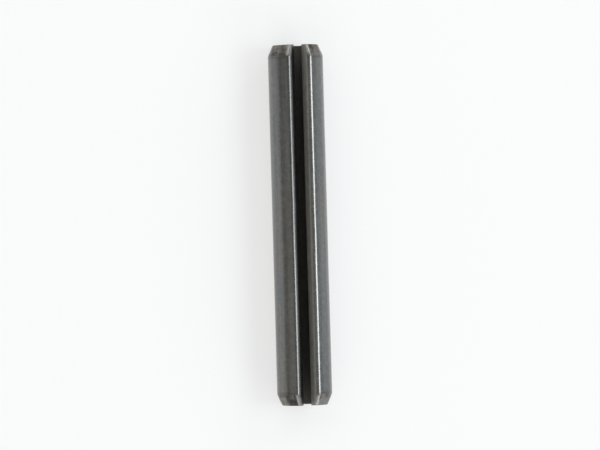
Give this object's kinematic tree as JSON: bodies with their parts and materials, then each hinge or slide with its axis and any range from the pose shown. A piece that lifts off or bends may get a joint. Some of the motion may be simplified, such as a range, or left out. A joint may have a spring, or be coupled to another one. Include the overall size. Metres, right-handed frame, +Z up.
{
  "type": "slotted spring pin",
  "caption": "Slotted tubular spring pin with chamfered ends, rolled from steel strip and pressed into a drilled hole to lock or locate two parts.",
  "frame": {"origin": "below the pin's middle, on the line that it rests on", "axes": "+Y along the pin, +Z straight up through the middle of the slot, +X to the right across it"},
  "size_m": [0.003, 0.02, 0.0029],
  "materials": {
    "oxide_black_spring_steel": "dark grey oxide, semi-gloss, with faint rolling marks along the pin and rougher pressed chamfers"
  },
  "bodies": {
    "root": {"spring_pin": "oxide_black_spring_steel"}
  },
  "joints": []
}
